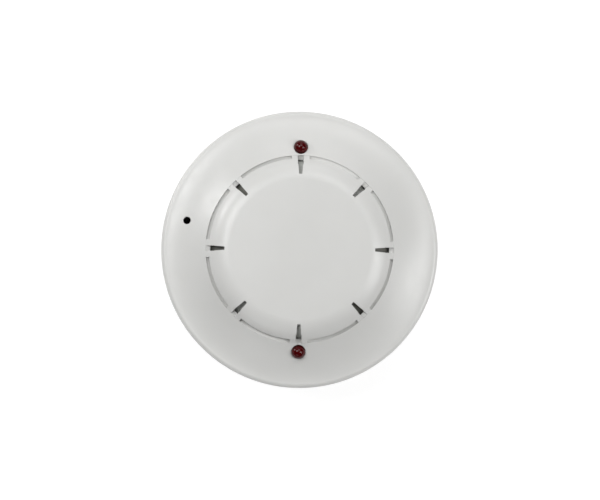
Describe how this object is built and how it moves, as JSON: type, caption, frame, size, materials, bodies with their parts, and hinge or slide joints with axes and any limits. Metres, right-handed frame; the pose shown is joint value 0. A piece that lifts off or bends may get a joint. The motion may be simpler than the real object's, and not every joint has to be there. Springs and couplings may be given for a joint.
{
  "type": "heat detector",
  "caption": "Round white ceiling heat detector: a domed plug-in head with radial air slots and red lamps, twist-locked on a shallow mounting base.",
  "frame": {"origin": "centre of the base's flat back, the face that lies on the ceiling or box", "axes": "+Z points out of the mounting face through the dome, +Y towards the upper lamp, +X to the right when the face is looked at with the upper lamp at the top"},
  "size_m": [0.1, 0.1, 0.042],
  "materials": {
    "white_cover": "satin white moulding with a fine spark texture",
    "white_base": "satin white moulding",
    "natural_nylon": "translucent off-white",
    "steel": "bright zinc plate",
    "spring_steel": "drawn wire",
    "nickel_brass": "nickel-flashed brass strip",
    "board_green": "solder mask over glass laminate",
    "black_package": "fine matt",
    "capacitor_sleeve": "shrunk sleeve",
    "ceramic_tan": "fired, smooth",
    "resistor_black": "glazed",
    "ruby_lens": "polished ruby epoxy",
    "tinned_wire": "tinned",
    "grey_shield": "moulded grey",
    "dark_moulding": "moulded dark grey",
    "black_bead": "dipped epoxy",
    "black_moulding": "matt black",
    "seal_rubber": "soft foam rubber",
    "label_foil": "blank silver-white label"
  },
  "bodies": {
    "base": {"base_plate": "white_base", "contact_strip_1": "nickel_brass", "contact_strip_2": "nickel_brass", "contact_strip_3": "nickel_brass", "contact_strip_4": "nickel_brass", "screen_terminal": "nickel_brass", "lock_pin": "steel", "lock_spring": "spring_steel"},
    "head": {"chassis": "white_base", "contact_blade_1": "nickel_brass", "contact_blade_2": "nickel_brass", "contact_blade_3": "nickel_brass", "contact_blade_4": "nickel_brass", "blade_rivets": "nickel_brass", "board_pins": "nickel_brass", "circuit_board": "board_green", "board_screws": "steel", "microcontroller": "black_package", "amplifier_chip": "black_package", "regulator": "black_package", "electrolytic_capacitors": "capacitor_sleeve", "ceramic_capacitors": "ceramic_tan", "resistors": "resistor_black", "diodes": "black_package", "transistor": "black_package", "led_upper": "ruby_lens", "led_lower": "ruby_lens", "led_leads": "tinned_wire", "led_holders": "grey_shield", "thermistor": "black_bead", "thermistor_leads": "tinned_wire", "thermistor_holder": "black_moulding", "reference_thermistor": "black_bead", "sensor_bulkhead": "black_moulding", "light_shields": "grey_shield", "slot_baffle": "dark_moulding", "baffle_clips": "grey_shield", "centre_cap": "white_cover", "outer_cover": "white_cover", "chassis_screws": "steel", "seal_ring": "seal_rubber", "rating_label": "label_foil"},
    "lock_lever": {"lock_lever": "natural_nylon"},
    "clamp_1": {"clamp_plate_1": "steel"},
    "screw_1": {"terminal_screw_1": "steel"},
    "clamp_2": {"clamp_plate_2": "steel"},
    "screw_2": {"terminal_screw_2": "steel"},
    "clamp_3": {"clamp_plate_3": "steel"},
    "screw_3": {"terminal_screw_3": "steel"},
    "clamp_4": {"clamp_plate_4": "steel"},
    "screw_4": {"terminal_screw_4": "steel"},
    "clamp_5": {"clamp_plate_5": "steel"},
    "screw_5": {"terminal_screw_5": "steel"}
  },
  "joints": [
    {"name": "head_twist", "type": "hinge", "parent": "base", "child": "head", "pos_m": [0, 0, 0], "axis": [0, 0, 1], "range_deg": [0, 22]},
    {"name": "lock_release", "type": "hinge", "parent": "base", "child": "lock_lever", "pos_m": [-0.03622, 0.02022, 0.007], "axis": [0.9711, -0.2385, 0], "range_deg": [0, 8], "stiffness_Nm_per_rad": 0.02, "springref_deg": -8.59, "deforming": ["lock_spring"]},
    {"name": "clamp_slide_1", "type": "slide", "parent": "base", "child": "clamp_1", "axis": [0, 0, 1], "range_m": [0, 0.0016]},
    {"name": "screw_turn_1", "type": "hinge", "parent": "clamp_1", "child": "screw_1", "pos_m": [0.02051, 0.02051, 0.006], "axis": [0, 0, 1], "range_deg": [0, 960]},
    {"name": "clamp_slide_2", "type": "slide", "parent": "base", "child": "clamp_2", "axis": [0, 0, 1], "range_m": [0, 0.0016]},
    {"name": "screw_turn_2", "type": "hinge", "parent": "clamp_2", "child": "screw_2", "pos_m": [-0.02051, 0.02051, 0.006], "axis": [0, 0, 1], "range_deg": [0, 960]},
    {"name": "clamp_slide_3", "type": "slide", "parent": "base", "child": "clamp_3", "axis": [0, 0, 1], "range_m": [0, 0.0016]},
    {"name": "screw_turn_3", "type": "hinge", "parent": "clamp_3", "child": "screw_3", "pos_m": [-0.02051, -0.02051, 0.006], "axis": [0, 0, 1], "range_deg": [0, 960]},
    {"name": "clamp_slide_4", "type": "slide", "parent": "base", "child": "clamp_4", "axis": [0, 0, 1], "range_m": [0, 0.0016]},
    {"name": "screw_turn_4", "type": "hinge", "parent": "clamp_4", "child": "screw_4", "pos_m": [0.02051, -0.02051, 0.006], "axis": [0, 0, 1], "range_deg": [0, 960]},
    {"name": "clamp_slide_5", "type": "slide", "parent": "base", "child": "clamp_5", "axis": [0, 0, 1], "range_m": [0, 0.0016]},
    {"name": "screw_turn_5", "type": "hinge", "parent": "clamp_5", "child": "screw_5", "pos_m": [0, -0.021, 0.006], "axis": [0, 0, 1], "range_deg": [0, 960]}
  ],
  "couplings": [
    {"joint": "screw_turn_1", "follows": "clamp_slide_1", "rad_per_m": 10472},
    {"joint": "screw_turn_2", "follows": "clamp_slide_2", "rad_per_m": 10472},
    {"joint": "screw_turn_3", "follows": "clamp_slide_3", "rad_per_m": 10472},
    {"joint": "screw_turn_4", "follows": "clamp_slide_4", "rad_per_m": 10472},
    {"joint": "screw_turn_5", "follows": "clamp_slide_5", "rad_per_m": 10472}
  ]
}
